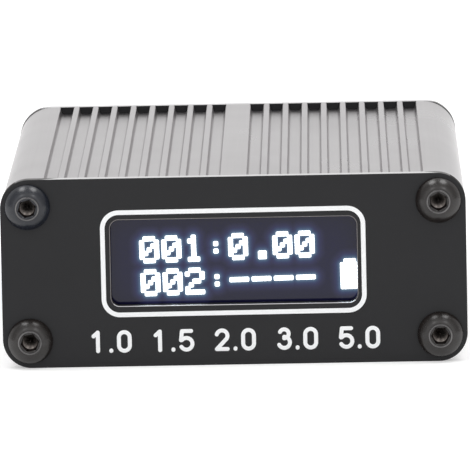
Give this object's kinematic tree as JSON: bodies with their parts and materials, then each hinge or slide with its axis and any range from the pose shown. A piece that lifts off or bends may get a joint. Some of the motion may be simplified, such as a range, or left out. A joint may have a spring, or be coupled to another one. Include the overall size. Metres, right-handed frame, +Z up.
{
  "type": "swr meter",
  "caption": "Pocket meter for radio power and standing wave ratio: grooved metal sleeve, black end plates, dot-matrix display, coaxial sockets and a slide switch.",
  "frame": {"origin": "centre of the sleeve's underside, on the plain strip between the grooves", "axes": "+X to the right as the display is read, +Y from the front plate to the rear plate, +Z up"},
  "size_m": [0.058, 0.0917, 0.0237],
  "materials": {
    "grey_anodised": "matte anodised extrusion",
    "black_anodised": "fine matte black, white printed line",
    "black_steel": "black oxide",
    "black_tape": "foam tape",
    "display_glass": "polished, dark",
    "green_board": "solder mask",
    "ribbon_film": "polyimide film",
    "nickel": "nickel plated brass",
    "white_insulator": "turned",
    "silver_contact": "silver plated",
    "black_plastic": "moulded",
    "copper": "enamelled wire",
    "ferrite": "sintered",
    "diode_glass": "tinted",
    "blue_plastic": "moulded",
    "white_plastic": "moulded",
    "pouch_foil": "laminated foil",
    "red_lead": "silicone",
    "black_lead": "silicone"
  },
  "bodies": {
    "meter": {"housing_sleeve": "grey_anodised", "front_panel": "black_anodised", "rear_panel": "black_anodised", "front_screw_lower_left": "black_steel", "front_screw_lower_right": "black_steel", "front_screw_upper_left": "black_steel", "front_screw_upper_right": "black_steel", "rear_screw_lower_left": "black_steel", "rear_screw_lower_right": "black_steel", "rear_screw_upper_left": "black_steel", "rear_screw_upper_right": "black_steel", "display_tape": "black_tape", "display_glass": "display_glass", "display_board": "green_board", "display_ribbon": "ribbon_film", "main_board": "green_board", "left_socket_shell": "nickel", "left_socket_insulator": "white_insulator", "left_socket_contact": "silver_contact", "left_socket_washer": "nickel", "left_socket_nut": "nickel", "right_socket_shell": "nickel", "right_socket_insulator": "white_insulator", "right_socket_contact": "silver_contact", "right_socket_washer": "nickel", "right_socket_nut": "nickel", "charging_socket_shell": "nickel", "charging_socket_tongue": "black_plastic", "switch_body": "nickel", "through_line": "copper", "current_core": "ferrite", "current_winding": "copper", "voltage_core": "ferrite", "voltage_winding": "copper", "detector_diode_left": "diode_glass", "detector_diode_right": "diode_glass", "calibration_trimmer_left": "blue_plastic", "calibration_trimmer_right": "blue_plastic", "microcontroller": "black_plastic", "charger_chip": "black_plastic", "battery_pouch": "pouch_foil", "battery_plug": "white_plastic", "battery_lead_red": "red_lead", "battery_lead_black": "black_lead"},
    "knob": {"switch_knob": "black_plastic"}
  },
  "joints": [
    {"name": "power_switch", "type": "slide", "parent": "meter", "child": "knob", "axis": [1, 0, 0], "range_m": [0, 0.002]}
  ]
}
